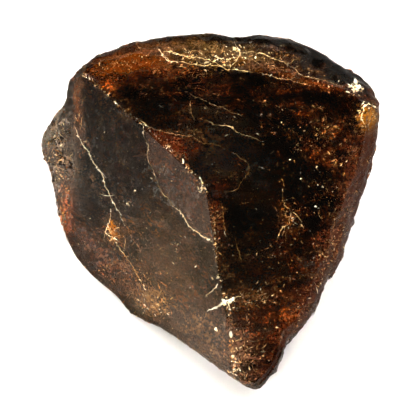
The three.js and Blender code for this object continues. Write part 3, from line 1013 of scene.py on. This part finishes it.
TONES = (
    (0.0, (0.20, 0.035, 0.004)),
    (0.25, (0.42, 0.11, 0.014)),
    (0.5, (0.58, 0.27, 0.06)),
    (0.7, (0.80, 0.56, 0.23)),
    (0.85, (0.98, 0.82, 0.50)),
    (1.0, (1.0, 0.94, 0.74)),
)


def toned_mineral(name, settings):
    """Fractured and mineral surfaces, from deep orange through gold to cream by their tone."""
    graph = Graph(name)
    tone = graph.attribute("tone")
    shade = graph.noise(3.0, 4, 0.7)
    inputs = {
        "Base Color": graph.ramp(tone + (shade - 0.5) * 0.5, TONES),
        "Roughness": 0.25 + shade * 0.3,
        "IOR": settings.ior,
        "Alpha": (graph.noise(2.4, 5, 0.8) + tone * 0.18).above(0.49, 0.10),
    }
    return graph.finish(graph.principled(inputs))


def lay_on(context, name, made_on, finish):
    """Makes a toned piece on the finished skin."""
    material = toned_mineral(finish, context.scene.dravite_crystal)
    return finish_piece(name, made_on(Skin()), material)


# ---- The stage ----
FLOOR_DROP = 0.00002  # of the floor under the foot, in metres
FLOOR_COLOURS = ((0.86, 0.86, 0.86, 1), (0.88, 0.88, 0.88, 1))
WORLD_COLOUR = (1, 0.91, 0.80, 1)
WORLD_STRENGTH = 0.035
LAMP_COLOUR = (1.0, 0.94, 0.87)
LAMP_DISTANCE = 0.7  # from the crystal, in metres
LAMP_TARGET = Vector((0.005, 0.006, 0.005))
# Each lamp's azimuth and elevation in degrees, size in metres, power in watts and spread in
# degrees. The pools are narrow, and light a round of floor under the crystal.
LAMPS = {
    "overhead": (0, 88, 0.6, 0.35, 180),
    "left": (-80, 45, 0.4, 0.10, 180),
    "right": (80, 45, 0.4, 0.12, 180),
    "front": (180, 50, 0.4, 0.10, 180),
    "back": (25, 16, 0.4, 0.10, 180),
    "back left": (-75, 14, 0.3, 0.05, 180),
    "left front pool": (-125, 56, 0.066, 0.0085, 2.4),
    "left pool": (-65, 62, 0.066, 0.0052, 2.4),
    "right pool": (65, 74, 0.066, 0.0052, 2.4),
    "right front pool": (115, 74, 0.066, 0.0066, 2.4),
    "front pool": (180, 62, 0.066, 0.0070, 2.4),
    "top pool": (0, 89, 0.066, 0.0045, 2.4),
}
SENSOR_WIDTH = 36  # of the camera, in millimetres
VIEW_WIDTH = 0.042  # of what the camera takes in at the tip's level, in metres


def lay_floor(size):
    bm = bmesh.new()
    bmesh.ops.create_grid(bm, x_segments=4, y_segments=4, size=size / 2)
    bmesh.ops.translate(bm, verts=bm.verts, vec=(0, 0, -FLOOR_DROP))
    graph = Graph("pale floor")
    colour = graph.mix_colour(graph.noise(0.02, detail=2.0), *FLOOR_COLOURS)
    inputs = {"Base Color": colour, "Roughness": 0.9}
    mesh = mesh_from(bm, "floor")
    mesh.materials.append(graph.finish(graph.principled(inputs)))
    floor = add_object("floor", mesh)


def hang_lamps(scene):
    world = bpy.data.worlds.new("studio")
    world.use_nodes = True
    background = world.node_tree.nodes["Background"]
    background.inputs["Color"].default_value = WORLD_COLOUR
    background.inputs["Strength"].default_value = WORLD_STRENGTH
    scene.world = world
    for name, (azimuth, elevation, size, power, spread) in LAMPS.items():
        lamp = bpy.data.lights.new(name, "AREA")
        lamp.size = size
        lamp.energy = power
        lamp.spread = math.radians(spread)
        lamp.color = LAMP_COLOUR
        holder = add_object(name, lamp)
        turn, rise = math.radians(azimuth), math.radians(elevation)
        outwards = Vector(
            (math.sin(turn) * math.cos(rise), math.cos(turn) * math.cos(rise), math.sin(rise))
        )
        holder.location = outwards * LAMP_DISTANCE + LAMP_TARGET
        holder.rotation_euler = outwards.to_track_quat("Z", "Y").to_euler()


def set_camera(scene, distance):
    """Looks down on the faces, from the middle of the face-on frame."""
    lens = bpy.data.cameras.new("camera")
    lens.sensor_width = SENSOR_WIDTH
    lens.lens = SENSOR_WIDTH * distance / VIEW_WIDTH
    lens.clip_start = 0.01
    camera = add_object("camera", lens)
    camera.location = placed(0, 0) + TOWARDS * distance
    camera.rotation_euler = TOWARDS.to_track_quat("Z", "Y").to_euler()
    scene.camera = camera
    scene.view_settings.view_transform = "Standard"


# ---- Settings ----
class CrystalSettings(bpy.types.PropertyGroup):
    """What the crystal lets through."""

    ior: bpy.props.FloatProperty(
        name="IOR", description="Refractive index of dravite", default=1.63, min=1.0, max=2.5
    )
    body_colour: bpy.props.FloatVectorProperty(
        name="Body colour",
        description="What the crystal lets through, at the density below",
        subtype="COLOR",
        default=(0.75, 0.42, 0.08),
        min=0,
        max=1,
    )
    density: bpy.props.FloatProperty(
        name="Density",
        description="Absorption per metre, taken off by the complement of the body colour",
        default=950.0,
    )


class StageSettings(bpy.types.PropertyGroup):
    """The floor and the camera."""

    floor_size: bpy.props.FloatProperty(
        name="Floor size", description="Side of the floor", default=2.0, unit="LENGTH"
    )
    camera_distance: bpy.props.FloatProperty(
        name="Camera distance", description="From the tip's level", default=0.6, unit="LENGTH"
    )


# ---- Operators ----
class DRAVITE_OT_skin(bpy.types.Operator):
    """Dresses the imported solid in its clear, finely shaped skin"""

    bl_idname = "dravite.skin"
    bl_label = "Clear skin"

    def execute(self, context):
        mesh = skin_mesh()
        roughen(mesh, *paint_zones(mesh))
        material = clear_dravite(context.scene.dravite_crystal)
        piece = finish_piece("clear_crystal", mesh, material, replaces_node=True)
        piece.data.shade_smooth()
        piece.data.set_sharp_from_angle(angle=SHARP)
        return {"FINISHED"}


class DRAVITE_OT_cracks(bpy.types.Operator):
    """Lays the healed cracks on the skin"""

    bl_idname = "dravite.cracks"
    bl_label = "Cracks"

    def execute(self, context):
        lay_on(context, "cracks", cracks_mesh, "healed crack")
        return {"FINISHED"}


class DRAVITE_OT_flakes(bpy.types.Operator):
    """Scatters the glinting flakes and slivers over every side"""

    bl_idname = "dravite.flakes"
    bl_label = "Flakes"

    def execute(self, context):
        lay_on(context, "flakes", flakes_mesh, "glinting flake")
        return {"FINISHED"}


class DRAVITE_OT_crusts(bpy.types.Operator):
    """Sets the pale mineral crusts on the rims and ridges"""

    bl_idname = "dravite.crusts"
    bl_label = "Mineral crusts"

    def execute(self, context):
        lay_on(context, "crusts", crusts_mesh, "pale crust").data.shade_smooth()
        return {"FINISHED"}


class DRAVITE_OT_stage(bpy.types.Operator):
    """Sets the floor, the soft lights and the camera"""

    bl_idname = "dravite.stage"
    bl_label = "Stage"

    def execute(self, context):
        settings = context.scene.dravite_stage
        lay_floor(settings.floor_size)
        hang_lamps(context.scene)
        set_camera(context.scene, settings.camera_distance)
        return {"FINISHED"}


class DRAVITE_PT_panel(bpy.types.Panel):
    """Lists the crystal's settings and its operators"""

    bl_label = "Dravite crystal"
    bl_idname = "DRAVITE_PT_panel"
    bl_space_type = "VIEW_3D"
    bl_region_type = "UI"
    bl_category = "Crystal"

    def draw(self, context):
        for settings in (context.scene.dravite_crystal, context.scene.dravite_stage):
            for key in settings.bl_rna.properties.keys():
                if key not in {"rna_type", "name"}:
                    self.layout.prop(settings, key)
        for operator in OPERATORS:
            self.layout.operator(operator.bl_idname)


OPERATORS = (
    DRAVITE_OT_skin,
    DRAVITE_OT_cracks,
    DRAVITE_OT_flakes,
    DRAVITE_OT_crusts,
    DRAVITE_OT_stage,
)
CLASSES = (CrystalSettings, StageSettings, *OPERATORS, DRAVITE_PT_panel)


def register():
    for cls in CLASSES:
        bpy.utils.register_class(cls)
    bpy.types.Scene.dravite_crystal = bpy.props.PointerProperty(type=CrystalSettings)
    bpy.types.Scene.dravite_stage = bpy.props.PointerProperty(type=StageSettings)


def unregister():
    del bpy.types.Scene.dravite_stage
    del bpy.types.Scene.dravite_crystal
    for cls in reversed(CLASSES):
        bpy.utils.unregister_class(cls)


def main():
    register()
    bpy.ops.dravite.skin()
    bpy.ops.dravite.cracks()
    bpy.ops.dravite.flakes()
    bpy.ops.dravite.crusts()
    bpy.ops.dravite.stage()


if __name__ == "__main__":
    main()
